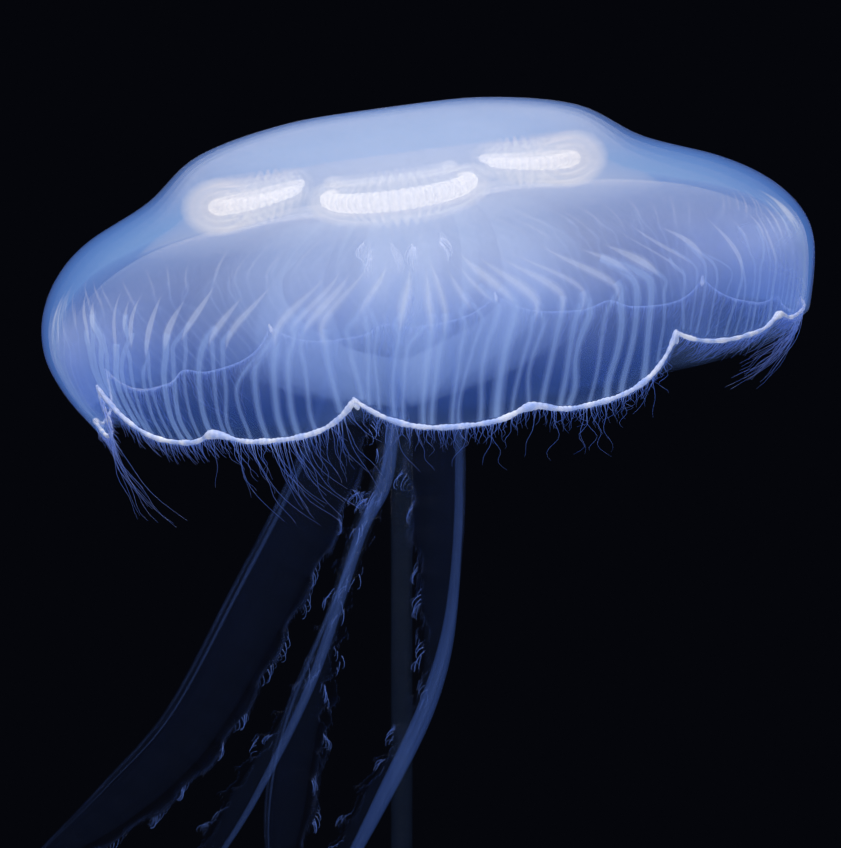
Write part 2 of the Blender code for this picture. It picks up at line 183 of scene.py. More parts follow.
# How thick each gonad's pleats are against the solid's, how much they show, how thick its pouch is,
# and how full it still is at its two ends
GONAD_FILL = [0.88, 0.70, 0.36, 0.70]
GONAD_FIRM = [1.0, 1.0, 0.4, 1.0]
GONAD_GLOW = [1.45, 1.70, 0.62, 1.70]
GONAD_END = [0.22, 0.50, 0.22, 0.50]
# Nested bodies of a pouch, as shares of its thickness, so that its edge is soft
POUCH_LAYERS = (0.60, 0.95, 1.40)
POUCH_FOLD = 0.24
PLEAT_FOLD = 0.11
FILAMENTS_PER_GONAD = 150
FILAMENT_RADIUS = 0.00013

# Mouth and arms, in bell radii from the rim's centre along the world's axes:
# x, y, z, half width, half thickness, turn about the arm's length in degrees
MOUTH_TOP = 0.460
MOUTH_BOTTOM = 0.370
MOUTH_TOP_RADIUS = 0.080
MOUTH_BOTTOM_RADIUS = 0.118
MOUTH_WAIST = 0.02
FIRST_ARM = math.radians(-43)
ARM_ROOT_RADIUS = 0.082
ARM_ROOT_LENGTH = 0.10
ARM_ROOT_SIZE = (0.048, 0.026)
ARM_ROOT_TURN = (43, -47)
ARMS = {
    "front_left": [
        (-0.152, -0.160, 0.150, 0.060, 0.026, 55),
        (-0.147, -0.200, -0.231, 0.070, 0.026, 80),
        (-0.218, -0.200, -0.401, 0.072, 0.026, 80),
        (-0.333, -0.200, -0.757, 0.070, 0.024, 82),
        (-0.490, -0.190, -1.041, 0.070, 0.020, 60),
        (-0.622, -0.180, -1.264, 0.030, 0.012, 40),
    ],
    "front_right": [
        (-0.030, -0.150, 0.130, 0.062, 0.026, 20),
        (-0.020, -0.165, -0.226, 0.078, 0.026, 8),
        (-0.016, -0.170, -0.577, 0.060, 0.026, 35),
        (-0.052, -0.215, -0.815, 0.058, 0.024, 75),
        (-0.190, -0.225, -1.079, 0.058, 0.020, 60),
        (-0.304, -0.220, -1.309, 0.026, 0.012, 45),
    ],
    "back_right": [
        (-0.085, 0.075, 0.150, 0.060, 0.026, 90),
        (-0.165, 0.150, -0.250, 0.075, 0.026, 88),
        (-0.294, 0.155, -0.634, 0.080, 0.026, 78),
        (-0.390, 0.155, -0.972, 0.082, 0.022, 35),
        (-0.430, 0.150, -1.200, 0.070, 0.018, 10),
        (-0.453, 0.150, -1.400, 0.028, 0.012, 0),
    ],
    "back_left": [
        (-0.225, 0.060, 0.120, 0.068, 0.026, 10),
        (-0.317, 0.120, -0.248, 0.090, 0.026, 0),
        (-0.499, 0.130, -0.630, 0.100, 0.024, 0),
        (-0.684, 0.130, -0.965, 0.098, 0.020, 5),
        (-0.880, 0.130, -1.165, 0.080, 0.016, 10),
        (-1.100, 0.130, -1.330, 0.028, 0.012, 15),
    ],
}
# Which edge of each arm carries the firm midrib: -1 or 1 along its width
MIDRIB_SIDE = {"front_left": 1, "front_right": 1, "back_right": -1, "back_left": -1}
ARM_STATIONS = 260
# How far down the milky root body goes, and how much of the solid's width a soft body fills
ARM_MILK_END = 0.34
ARM_FILL = 0.92
# Places of the midrib and of the soft strand beside it, as shares of the arm's half width
MIDRIB_PLACE = 0.86
MIDRIB_RADIUS = 0.0010
STRAND_PLACE = 0.70
# The strand's radius, its nested layers, and how full it is from root to tip
STRAND_RADIUS = 0.0024
STRAND_LAYERS = (0.45, 1.0)
STRAND_FILL = {
    "front_left": [0.4, 0.9, 0.85, 0.6, 0.3],
    "front_right": [0.4, 0.4, 0.6, 1.2, 0.6],
    "back_right": [0.3, 0.4, 0.3, 0.2, 0.1],
    "back_left": [0.4, 0.5, 0.3, 0.12, 0.05],
}
# Lips: how far they reach across the arm in half widths, their ruffles, the scallops of their free
# edge, and the short hairs that curl from it
LIP_COLUMNS = 12
LIP_REACH = 1.84
LIP_SCALLOP = 0.0016
LIP_PULL = 0.0012
RUFFLE_LENGTH = 0.0105
RUFFLE_DEPTH = 0.0026
HAIR_RADIUS = 0.00013
HAIR_BEND = 2.4

# Milky mass of the mouth's frills under the stomach: sideways place, radius, height
FRILL_MASS = [
    (-0.064, 0.24, 0.430), (-0.07, 0.34, 0.340), (-0.08, 0.38, 0.240), (-0.09, 0.35, 0.130),
    (-0.10, 0.24, 0.030), (-0.10, 0.03, -0.050),
]
FRILL_LAYERS = (0.60, 1.10)
FRILL_FOLD = 0.24
FRILL_TWIST = 5

# Rim band, and how firm it is on each lobe
RIM_RADIUS = 0.00070
RIM_FIRM = [1.0, 1.0, 0.80, 0.32, 0.32, 0.32, 0.32, 0.80]

# Sense organs in the notches
SENSE_RADIUS = 0.0008

# Tentacles: how many, and for each lobe the shares across it between which the long ones grow,
# how many of those are long, their length, and how far they sweep inwards and sideways as shares of it
TENTACLES_PER_LOBE = 190
TENTACLE_RADIUS = 0.000065
TENTACLE_SWEEP = [
    (-0.05, 0.97, 0.42, 0.027, 0.35, 0.35),
    (-0.97, 0.97, 0.14, 0.017, 0.30, 0.05),
    (0.30, 0.97, 0.40, 0.030, 0.70, -0.75),
    (-0.97, 0.97, 0.25, 0.026, 0.60, 0.00),
    (-0.97, 0.97, 0.20, 0.024, 0.50, 0.00),
    (-0.97, 0.97, 0.20, 0.024, 0.50, 0.00),
    (-0.97, 0.97, 0.25, 0.026, 0.60, 0.00),
    (0.72, 0.97, 0.50, 0.042, 0.35, 0.60),
]

# Powder coat's pebbles, and the plinth top: its rim, its face and its underside
PEBBLE = 0.0012
PLINTH_RADIUS = 0.322
PLINTH_HOLE = 0.002
PLINTH_TOP = -0.0005
PLINTH_DEEP = 0.03

# Camera
CAMERA_DISTANCE = 4.5 * BELL_RADIUS
LENS = 73.4
AIM_LEFT = 0.0080
AIM_DOWN = 0.0169

LEAN = Matrix.Rotation(-BELL_ROLL, 4, "Y") @ Matrix.Rotation(BELL_PITCH, 4, "X")
BELL_HEIGHT = 0.245
MOUTH_OFFSET = LEAN @ (Vector((CROWN_SHIFT, 0, MOUTH_BOTTOM)) * BELL_RADIUS)
BELL_CENTRE = Vector((-MOUTH_OFFSET.x, -MOUTH_OFFSET.y, BELL_HEIGHT))
BELL_TO_WORLD = np.array(Matrix.Translation(BELL_CENTRE) @ LEAN @ Matrix.Scale(BELL_RADIUS, 4))


# Numbers and curves

def between(low, high, share):
    return low + (high - low) * share


def smooth(value):
    """0 below 0 and 1 above 1, with a soft slope between."""
    value = np.clip(value, 0, 1)
    return value * value * (3 - 2 * value)


def rise(value, start, end):
    return smooth((value - start) / (end - start))


def line_at(points, place):
    """Catmull-Rom through rows of numbers, at an array of places from 0 to len(points) - 1."""
    rows = np.array(points, float)
    last = len(rows) - 1
    place = np.clip(np.asarray(place, float), 0, last)
    first = np.minimum(place.astype(int), last - 1)
    share = (place - first)[..., None]
    before, start, end, after = (rows[np.clip(first + step, 0, last)] for step in (-1, 0, 1, 2))
    return (
        before * (-share ** 3 + 2 * share ** 2 - share)
        + start * (3 * share ** 3 - 5 * share ** 2 + 2)
        + end * (-3 * share ** 3 + 4 * share ** 2 + share)
        + after * (share ** 3 - share ** 2)
    ) / 2


def value_at(values, place):
    return line_at([(value,) for value in values], place)[..., 0]


def circle(count):
    return np.linspace(0, TURN, count, endpoint=False)


def to_world(points):
    return points @ BELL_TO_WORLD[:3, :3].T + BELL_TO_WORLD[:3, 3]


def unit(vectors):
    return vectors / np.maximum(np.linalg.norm(vectors, axis=-1, keepdims=True), 1e-12)


# The bell's surface

def lobe_share(angle):
    """-1 and 1 at a lobe's two notches, 0 at its middle; and the lobe's number."""
    turns = (np.asarray(angle, float) - FIRST_NOTCH) / LOBE_ANGLE
    lobe = np.floor(turns + 1e-9)
    return 2 * (turns - lobe) - 1, lobe.astype(int) % LOBES


def rim_place(angle):
    """Place on the outer line where the rim lies at this angle."""
    share, lobe = lobe_share(angle)
    notches = np.array(NOTCH_EDGE)
    notch = np.where(share < 0, notches[lobe], notches[(lobe + 1) % LOBES])
    edge = np.array(LOBE_EDGE)[lobe]
    height = edge + (notch - edge) * np.abs(share) ** NOTCH_POWER
    height += MID_NOTCH * np.exp(-((share / MID_NOTCH_WIDTH) ** 2))
    places = np.linspace(WIDEST_PLACE, len(OUTER_LINE) - 1, 200)
    heights = line_at(OUTER_LINE, places)[:, 1]
    return np.interp(-height, -heights, places)


def side_shift(place):
    upper = between(CROWN_SHIFT, WIDEST_SHIFT, rise(place, CROWN_PLACE, WIDEST_PLACE))
    lower = between(WIDEST_SHIFT, RIM_SHIFT, rise(place, WIDEST_PLACE, RIM_PLACE))
    return np.where(place < WIDEST_PLACE, upper, lower)


def bell_frame_points(place, angle, depth):
    """Points of the bell in its own frame; depth 0 is the outer face and 1 the inner face."""
    place, angle, depth = np.broadcast_arrays(place, angle, depth)
    line = line_at(OUTER_LINE, place)
    along = unit(line_at(OUTER_LINE, place + 0.05) - line_at(OUTER_LINE, place - 0.05))
    thick = value_at(THICKNESS, place) * depth
    creased = CREASE * rise(place, CREASE_PLACE, RIM_PLACE) * np.abs(lobe_share(angle)[0]) ** 4
    radius = (line[..., 0] + along[..., 1] * thick) * (1 - creased)
    height = line[..., 1] - along[..., 0] * thick
    height = height + RIM_TILT * rise(place, *TILT_PLACES) * radius * np.sin(angle)
    return round_axis(radius, angle, height, side_shift(place))


def bell_points(place, angle, depth):
    return to_world(bell_frame_points(place, angle, depth))


# Mesh makers

def rings(path, side, upright, wide, tall):
    """Rings of points round a path: wide is how far each lies aside, and tall how far upright."""
    return path[:, None] + side[:, None] * wide[..., None] + upright[:, None] * tall[..., None]


def round_axis(radius, angle, height, shift):
    """Points at this radius, angle and height in the bell's frame, moved along X by shift."""
    parts = np.broadcast_arrays(radius * np.sin(angle) + shift, -radius * np.cos(angle), height)
    return np.stack(parts, -1)


def new_item(name, data):
    item = bpy.data.objects.new(name, data)
    scene.collection.objects.link(item)
    return item


class Shape:
    """Points and faces gathered for one piece, with numbers kept at each point."""

    def __init__(self):
        self.points = []
        self.faces = []
        self.marks = {}
        self.count = 0

    def add_grid(self, points, wrap=False, **marks):
        """A sheet of quads from points[row, column]; wrap joins the last column to the first."""
        rows, columns = points.shape[:2]
        number = np.arange(rows * columns).reshape(rows, columns) + self.count
        for name, values in marks.items():
            self.marks.setdefault(name, []).append(np.broadcast_to(values, (rows, columns)).reshape(-1))
        self.points.append(points.reshape(-1, 3))
        self.count += rows * columns
        here, after = (number, np.roll(number, -1, axis=1)) if wrap else (number[:, :-1], number[:, 1:])
        quads = np.stack([here[:-1], here[1:], after[1:], after[:-1]], -1).reshape(-1, 4)
        self.faces.extend(quads.tolist())
        return number

    def add_rings(self, points, ends=(0, -1), **marks):
        """A skin over rings of points, closed over the first ring, 0, and the last, -1."""
        number = self.add_grid(points, wrap=True, **marks)
        for end in ends:
            self.faces.append(number[end].tolist()[::1 if end == 0 else -1])

    def add_tube(self, path, radii, sides, **marks):
        """A round tube along a path, closed at both ends."""
        along = unit(np.gradient(path, axis=0))
        seed = UP if abs(along[0, 2]) < 0.9 else np.array([1.0, 0, 0])
        current = unit(np.cross(along[0], seed))
        side = np.empty_like(path)
        for index, direction in enumerate(along):
            current = unit(current - direction * (current @ direction))
            side[index] = current
        turn = circle(sides)
        radii = np.broadcast_to(radii, (len(path),))[:, None]
        points = rings(path, side, np.cross(side, along), radii * np.cos(turn), radii * np.sin(turn))
        marks = {name: np.reshape(value, (-1, 1)) for name, value in marks.items()}
        self.add_rings(points, **marks)

    def add_soft_line(self, path, outward, widths):
        """A flat closed body along a path, deep in its middle and thinning out to both sides."""
        along = unit(np.gradient(path, axis=0))
        aside = unit(np.cross(along, outward))
        wide, tall = np.array(SOFT_SECTION).T
        widths = widths[:, None]
        self.add_rings(rings(path, aside, np.cross(aside, along), widths * wide, widths * tall))

    def mesh(self, name, material):
        mesh = bpy.data.meshes.new(name)
        mesh.from_pydata(np.concatenate(self.points).tolist(), [], self.faces)
        for mark, parts in self.marks.items():
            layer = mesh.attributes.new(mark, "FLOAT", "POINT")
            layer.data.foreach_set("value", np.concatenate(parts).astype(np.float32))
        mesh.materials.append(material)
        mesh.update()
        return mesh

    def finish(self, name, material, nodes=()):
        """The piece itself, and the solids' nodes that it takes the place of."""
        item = new_item(name, self.mesh(name, material))
        item.data.shade_smooth()
        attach(item, "root")
        if nodes:
            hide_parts(*nodes)
        # Light goes on through the clear jelly, so its pieces throw no shadow on each other
        item.visible_shadow = False


# Materials

def colour(text):
    """Linear colour from an sRGB hex value."""
    parts = [int(text[i:i + 2], 16) / 255 for i in (0, 2, 4)]
    linear = [p / 12.92 if p <= 0.04045 else ((p + 0.055) / 1.055) ** 2.4 for p in parts]
    return (*linear, 1)


def fill(tree, node, inputs):
    """Links, values or hex colours for a node's inputs."""
    for name, value in inputs.items():
        if isinstance(value, bpy.types.NodeSocket):
            tree.links.new(value, node.inputs[name])
        else:
            node.inputs[name].default_value = colour(value) if isinstance(value, str) else value


def add(tree, kind, inputs=None, stops=None, out=0, **settings):
    """Adds a node with its settings, inputs and colour stops, and gives one of its outputs."""
    node = tree.nodes.new("ShaderNode" + kind)
    for name, value in settings.items():
        setattr(node, name, value)
    fill(tree, node, inputs or {})
    if stops:
        points = node.color_ramp.elements
        while len(points) < len(stops):
            points.new(0.5)
        for point, (position, value) in zip(points, stops):
            point.position = position
            point.color = colour(value) if isinstance(value, str) else (value, value, value, 1)
    return node.outputs[out]


def patches(tree, vector, scale, detail, rough, low, high):
    """Soft patches of noise that run from low to high."""
    noise = add(tree, "TexNoise", {"Vector": vector, "Scale": scale, "Detail": detail, "Roughness": rough})
    return add(tree, "MapRange", {
        "Value": noise, "From Min": 0.3, "From Max": 0.7, "To Min": low, "To Max": high,
    })


def new_material(name, *marks):
    """A material, its tree, its shader, and the numbers that points keep under these names."""
    material = bpy.data.materials.new(name)
    material.use_nodes = True
    tree = material.node_tree
    numbers = [add(tree, "Attribute", out="Fac", attribute_name=mark) for mark in marks]
    return material, tree, tree.nodes["Principled BSDF"], *numbers


def add_fog_and_painted_glow(tree, full, reach):
    """Cloudy inside: it dims what lies behind it and glows with painted light, an even emission that stands
    in for light scattered in the jelly, blue first where it is thin.

    full is the colour of a great depth of it, and reach how deep, in metres, red, green and blue
    each have to be to come near that colour.
    """
    fading = [1 / length for length in reach]
    glow = [part * rate for part, rate in zip(colour(full), fading)]
    dim = add(tree, "VolumeAbsorption", {
        "Color": (*(1 - rate / max(fading) for rate in fading), 1), "Density": max(fading),
    })
    # Painted glow: an emission that shines the same whatever the lamps do
    painted_glow = add(tree, "Emission", {
        "Color": (*(part / max(glow) for part in glow), 1), "Strength": max(glow),
    })
    fill(tree, tree.nodes["Material Output"], {"Volume": add(tree, "AddShader", {0: dim, 1: painted_glow})})


def cloud(name, surface, cover, full, reach):
    """A soft body of fog with its painted glow, in a surface that shows only as far as cover says."""
    material, tree, shader = new_material(name)
    fill(tree, shader, {"Base Color": surface, "Alpha": cover, "Specular IOR Level": 0.0})
    add_fog_and_painted_glow(tree, full, reach)
    return material


def stomach_milk():
    """The cloudy filling between the crown and the stomach's floor, its painted glow brightest where it is
    deepest.
    """
    return cloud("stomach_milk", "C9D4EE", 0.03, "E2E8F6", (0.24, 0.22, 0.20))


def canal_milk():
    """Cloudy fluid and tissue of the fine canals: soft pale blue lines in the wall."""
    return cloud("canal_milk", "A9BCE8", 0.04, "A9BEEA", (0.0056, 0.0043, 0.0032))


def root_milk():
    """Denser cloud of the broad canal roots: the whitest streaks of the wall."""
    return cloud("root_milk", "E6EBF8", 0.04, "E6EBF8", (0.0058, 0.0052, 0.0045))


def frill_milk():
    """Faint cloud of the folded frills round the mouth, seen through the bell's wall."""
    return cloud("frill_milk", "BFCDEE", 0.004, "C2CFEE", (0.160, 0.115, 0.074))


def gonad_pouch():
    """The cloudy pouch that each gonad lies in, which blurs the outline of the pleats."""
    return cloud("gonad_pouch", "E4E9F6", 0.006, "F6F8FE", (0.0210, 0.0200, 0.0185))


def arm_veil():
    """Clear jelly between an arm's lips: hardly seen through its flat side, a soft blue strand edge on."""
    return cloud("arm_veil", "3A4F86", 0.010, "5F7DBE", (0.95, 1.05, 1.30))


def strand_jelly():
    """Firmer jelly along each arm's midrib: a soft pale blue strand."""
    return cloud("strand_jelly", "5F7DBE", 0.02, "7395DE", (0.060, 0.046, 0.029))


def mouth_milk():
    """Cloudy firm jelly of the mouth column and of the arms where they leave it."""
    return cloud("mouth_milk", "BFCDEE", 0.02, "B4C4EA", (0.075, 0.065, 0.048))


def clear_bell_jelly():
    """Clear jelly of the bell: glassy and wet, pale over the crown and deeper blue down the wall.

    Its outer face has a grain of about 2.4 mm, and its clouding changes every 36 mm or so.
    """
    material, tree, shader, ring, inner, amount = new_material("clear_bell_jelly", "ring", "inner", "amount")
    place = add(tree, "TexCoord", out="Object")
    tint = add(tree, "ValToRGB", {"Fac": ring}, [
        (0.0, "A9BAE2"), (0.26, "95AADC"), (0.44, "5F7FD0"),
        (0.72, "2A58CC"), (0.93, "2A58C8"), (1.0, "6F90DA"),
    ])
    thick = add(tree, "ValToRGB", {"Fac": ring}, [
        (0.0, 0.12), (0.22, 0.10), (0.36, 0.065), (0.50, 0.065), (0.72, 0.115), (0.96, 0.14), (1.0, 0.14),
    ])
    grain = add(tree, "TexNoise", {"Vector": place, "Scale": 420.0, "Detail": 1.0, "Roughness": 0.6})
    clouding = patches(tree, place, 28.0, 1.0, 0.5, 0.90, 1.10)
    inner_share = add(tree, "MapRange", {"Value": inner, "To Min": 1.0, "To Max": 0.75})
    alpha = thick
    for share in (clouding, inner_share, amount):
        alpha = add(tree, "Math", {0: alpha, 1: share}, operation="MULTIPLY")
    bump = add(tree, "Bump", {"Height": grain, "Strength": 0.12, "Distance": 0.0004})
    # The bell's fog also glows evenly with painted light
    add_fog_and_painted_glow(tree, "95AAD2", (0.22, 0.105, 0.046))
    fill(tree, shader, {
        "Base Color": tint, "Alpha": alpha, "Normal": bump,
        "Roughness": 0.48, "IOR": 1.34, "Specular IOR Level": 0.05,
    })
    return material


def milky_jelly():
    """Cloudy middle of the jelly: near white over the stomach, thinning in streaks down the wall."""
    material, tree, shader, ring, streak, amount = new_material("milky_jelly", "ring", "streak", "amount")
    place = add(tree, "TexCoord", out="Object")
    tint = add(tree, "ValToRGB", {"Fac": ring}, [
        (0.0, "C3CFEC"), (0.28, "CAD5EE"), (0.56, "D6DEF2"),
        (0.74, "A4B8E6"), (0.88, "7594DC"), (1.0, "5580D4"),
    ])
    edge = add(tree, "Math", {0: ring, 1: streak}, operation="ADD")
    alpha = add(tree, "ValToRGB", {"Fac": edge}, [
        (0.0, 0.12), (0.16, 0.14), (0.26, 0.155), (0.34, 0.11), (0.44, 0.10),
        (0.54, 0.135), (0.62, 0.14), (0.72, 0.10), (0.84, 0.05), (0.98, 0.0),
    ])
    for share in (patches(tree, place, 24.0, 1.0, 0.55, 0.86, 1.14), amount):
        alpha = add(tree, "Math", {0: alpha, 1: share}, operation="MULTIPLY")
    fill(tree, shader, {"Base Color": tint, "Alpha": alpha, "Roughness": 0.6, "Specular IOR Level": 0.05})
    return material


def stomach_lining():
    """Milky lining under the gonads: nearly white in the middle, thinning to nothing down the wall."""
    material, tree, shader, ring, streak = new_material("stomach_lining", "ring", "streak")
    tint = add(tree, "ValToRGB", {"Fac": ring}, [
        (0.0, "DCE3F4"), (0.45, "D0DAF1"), (0.75, "B4C4E8"), (1.0, "8FA8DE"),
    ])
    edge = add(tree, "Math", {0: ring, 1: streak}, operation="ADD")
    alpha = add(tree, "ValToRGB", {"Fac": edge}, [
        (0.0, 0.27), (0.30, 0.24), (0.50, 0.18), (0.66, 0.14), (0.82, 0.07), (0.98, 0.0),
    ])
    fill(tree, shader, {"Base Color": tint, "Alpha": alpha, "Roughness": 0.5})
    return material


def rim_tissue():
    """Firm pale band along the rim, the brightest line of the bell, in beads of about 4 mm."""
    material, tree, shader, firm = new_material("rim_tissue", "firm")
    place = add(tree, "TexCoord", out="Object")
    beads = add(tree, "TexNoise", {"Vector": place, "Scale": 260.0, "Detail": 2.0})
    tint = add(tree, "ValToRGB", {"Fac": beads}, [(0.35, "A9BFF2"), (0.65, "F2F5FE")])
    cover = add(tree, "MapRange", {
        "Value": firm, "From Min": min(RIM_FIRM), "From Max": 0.8, "To Min": 0.01, "To Max": 1.0,
    })
    fill(tree, shader, {"Base Color": tint, "Alpha": cover, "Roughness": 0.4})
    return material


def gonad_tissue():
    """Milky egg tissue in soft pleats, nearly white, with specks of about 1.4 mm; its tint runs from pale
    blue to white across each pleat, painted shade and light of the folds.

    It also glows a little by emission, painted light that stands in for light come through the tissue.
    """
    material, tree, shader, pleat, firm = new_material("gonad_tissue", "pleat", "firm")
    place = add(tree, "TexCoord", out="Object")
    speckle = add(tree, "TexNoise", {"Vector": place, "Scale": 700.0, "Detail": 3.0})
    # Painted shade of the folds: the pleat mark darkens and lightens the tint across each pleat, with real
    # specks on top
    fold_shade_and_specks = add(tree, "Math", {0: pleat, 1: speckle}, operation="ADD")
    tint = add(tree, "ValToRGB", {"Fac": fold_shade_and_specks}, [(0.35, "D4DCF0"), (0.75, "FFFFFF")])
    bump = add(tree, "Bump", {"Height": speckle, "Strength": 0.3, "Distance": 0.0005})
    cover = add(tree, "MapRange", {"Value": firm, "To Min": 0.0, "To Max": 0.36})
    # The emission is painted glow
    fill(tree, shader, {
        "Base Color": tint, "Alpha": cover, "Normal": bump, "Roughness": 0.45,
        "Emission Color": tint, "Emission Strength": 0.30,
    })
    return material


def arm_jelly():
    """Thin clear frill of the arms: milky at the root, firmer and paler along midrib and free edge."""
    material, tree, shader, across, down = new_material("arm_jelly", "across", "down")
    deep = add(tree, "ValToRGB", {"Fac": across}, [
        (0.0, "4E70C2"), (0.12, "2C4EA8"), (0.85, "284896"), (1.0, "5072C4"),
    ])
    milk = add(tree, "ValToRGB", {"Fac": down}, [(0.10, 1.0), (0.24, 0.0)])
    tint = add(tree, "Mix", {"Factor": milk, "A": deep, "B": "BFCDEE"}, out=2, data_type="RGBA")
    alpha = add(tree, "ValToRGB", {"Fac": across}, [
        (0.0, 0.02), (0.10, 0.008), (0.80, 0.004), (0.90, 0.010), (0.95, 0.045), (1.0, 0.42),
    ])
    spot = add(tree, "CombineXYZ", {"X": across, "Y": down})
    fade = add(tree, "ValToRGB", {"Fac": down}, [(0.0, 2.5), (0.14, 2.5), (0.26, 1.4), (1.0, 0.5)])
    for share in (fade, patches(tree, spot, 16.0, 4.0, 0.5, 0.45, 1.55)):
        alpha = add(tree, "Math", {0: alpha, 1: share}, operation="MULTIPLY")
    fill(tree, shader, {"Base Color": tint, "Alpha": alpha, "Roughness": 0.35})
    return material


def tentacle_thread():
    """Fine wet threads, pale blue at the rim and fading along their length."""
    material, tree, shader, down = new_material("tentacle_thread", "down")
    tint = add(tree, "ValToRGB", {"Fac": down}, [(0.0, "7F9BDF"), (0.3, "4468C4"), (1.0, "28468F")])
    fill(tree, shader, {"Base Color": tint, "Roughness": 0.4})
    return material


def powder_coated_steel():
    """Steel disc powder-coated in satin grey: the fine pebbled skin of baked powder breaks the shine."""
    material, tree, shader = new_material("powder_coated_steel")
    place = add(tree, "TexCoord", out="Object")
    pebbles = add(tree, "TexNoise", {"Vector": place, "Scale": 1 / PEBBLE, "Detail": 2.0, "Roughness": 0.5})
    tint = add(tree, "ValToRGB", {"Fac": pebbles}, [(0.3, "6E737C"), (0.7, "7E838C")])
    bump = add(tree, "Bump", {"Height": pebbles, "Strength": 0.35, "Distance": 0.0002})
    fill(tree, shader, {"Base Color": tint, "Normal": bump, "Roughness": 0.42})
    return material


def clear_acrylic():
    """Polished clear acrylic rod: hardly seen, with a clean shine."""
    material, tree, shader = new_material("clear_acrylic")
    fill(tree, shader, {"Base Color": "46608F", "Roughness": 0.05, "IOR": 1.49, "Alpha": 0.03})
    return material


def pale_floor():
    """Matt pale plinth top: plain, so that it only catches the light."""
    material, tree, shader = new_material("pale_floor")
    fill(tree, shader, {"Base Color": "C9CDD4", "Roughness": 0.7})
    return material


# Pieces

def ring_angles(count=COLUMNS):
    return FIRST_NOTCH + np.arange(count) * TURN / count


def make_bell(material):
    """One skin over the crown and all eight lobes, outside and in, joined by a rounded rim."""
    angles = ring_angles()
    bottom = rim_place(angles)

    def places(rows):
        share = np.linspace(TOP_SHARE, 1, rows)[:, None]
        upper = WIDEST_PLACE * share / UPPER_ROWS
        lower = between(WIDEST_PLACE, bottom, (share - UPPER_ROWS) / (1 - UPPER_ROWS))
        return np.where(share < UPPER_ROWS, upper, lower)

    turn = np.linspace(0, math.pi, EDGE_ROWS + 2)[1:-1]
    edge = bottom + EDGE_BULGE * np.sin(turn)[:, None]
    place = np.concatenate([places(OUTER_ROWS), edge, places(INNER_ROWS)[::-1]])
    depth = np.concatenate([np.zeros(OUTER_ROWS), (1 - np.cos(turn)) / 2, np.ones(INNER_ROWS)])[:, None]
    ring = np.clip(place / bottom, 0, 1)
    # Painted shade: the skin is made clearer low on the +Y side, so the light on that far wall shows less
    amount = 1 - SKIN_BACK_PAINTED_SHADE * (1 - np.cos(angles)) / 2 * rise(place, *SKIN_BACK_PLACES)
    shape = Shape()
    shape.add_rings(bell_points(place, angles, depth), ring=ring, inner=depth, amount=amount)
    nodes = [f"bell_lobe_{n + 1}" for n in range(LOBES)]
    shape.finish("bell_skin", material, ["bell_crown", *nodes])


def angular_waves(angles, seed, low, high):
    """A smooth random line round the bell, made of a band of even waves."""
    generator = np.random.default_rng(seed)
    return sum(
        generator.normal() * np.cos(count * angles + generator.uniform(0, TURN)) / math.sqrt(count)
        for count in range(low, high, 3)
    )


def make_core(material):
    """The cloudy layers inside the clear jelly, from the crown down to where the canals show."""
    angles = ring_angles()
    place = np.linspace(0.02, CORE_END, CORE_ROWS)[:, None]
    depth = value_at(CORE_DEPTH, place)
    by_gonad = np.cos(GONADS * (angles - FIRST_GONAD))
    front = np.cos(angles - FIRST_GONAD)
    aside = np.sin(angles) ** 2
    streak = CORE_STREAKS * angular_waves(angles, 11, 5, 90) - SIDE_CLOUD * aside
    streak -= GONAD_CLOUD * by_gonad + EDGE_CLOUD * np.cos(angles - EDGE_CLOUD_ANGLE)
    # Painted shade: the milk ends higher at the back so that the far wall shows darker
    streak += BACK_PAINTED_SHADE * (1 - np.cos(angles)) / 2
    # The extra milk at the front is painted light
    around = MILK_LEAST + MILK_BY_GONAD * by_gonad * np.clip(front, 0, 1) + FRONT_PAINTED_LIGHT * front
    around += MILK_BY_RIGHT * np.sin(angles)
    shoulder = rise(place, *SHOULDER_START) * (1 - rise(place, *SHOULDER_END))
    amount = between(1, around, rise(place, *MILK_PLACES))
    amount = amount * (1 + LOW_MILK * aside * rise(place, *LOW_PLACES))
    amount = amount * (1 - SHOULDER_THIN * aside * shoulder)
    marks = {"ring": place / RIM_PLACE, "streak": streak * rise(place, *STREAK_PLACES), "amount": amount}
    shape = Shape()
    for layer in CORE_LAYERS:
        shape.add_rings(bell_points(place, angles, depth * layer), ends=(0,), **marks)
    shape.finish("milky_layers", material)


def make_floor_lining(material):
    """Milky sheet under the gonads, spreading to the canal roots."""
    angles = ring_angles()
    share = np.linspace(0, 1, FLOOR_ROWS)[:, None]
    line = line_at(FLOOR_LINE, share * (len(FLOOR_LINE) - 1))
    radius = line[..., 0] * (1 - FLOOR_CREASE * share ** 2 * np.abs(lobe_share(angles)[0]) ** 4)
    near_pouch = np.exp(-((line[..., 0] - POUCH_CENTRE) / POUCH_REACH) ** 2)
    height = line[..., 1] - POUCH_SAG * np.cos(GONADS * (angles - FIRST_GONAD)) * near_pouch
    shift = between(CROWN_SHIFT, WIDEST_SHIFT, smooth(share * 1.05))
    streak = FLOOR_STREAKS * angular_waves(angles, 12, 5, 64) * smooth(share * 1.6 - 0.5)
    shape = Shape()
    shape.add_rings(to_world(round_axis(radius, angles, height, shift)), ends=(), ring=share, streak=streak)
    shape.finish("stomach_lining", material)


def make_stomach(material):
    """The closed lens of milky tissue between the crown's inner face and the stomach's floor."""
    angles = ring_angles(COLUMNS // 4)
    share = np.linspace(0, 1, STOMACH_ROWS)[:, None]
    top = bell_frame_points(between(*STOMACH_PLACES, share), angles, 1.0)
    line = line_at(FLOOR_LINE, STOMACH_FLOOR_END * share[::-1])
    bottom = round_axis(line[..., 0], angles, line[..., 1], CROWN_SHIFT)
    shape = Shape()
    shape.add_rings(to_world(np.concatenate([top, bottom])))
    shape.finish("stomach_milk", material)


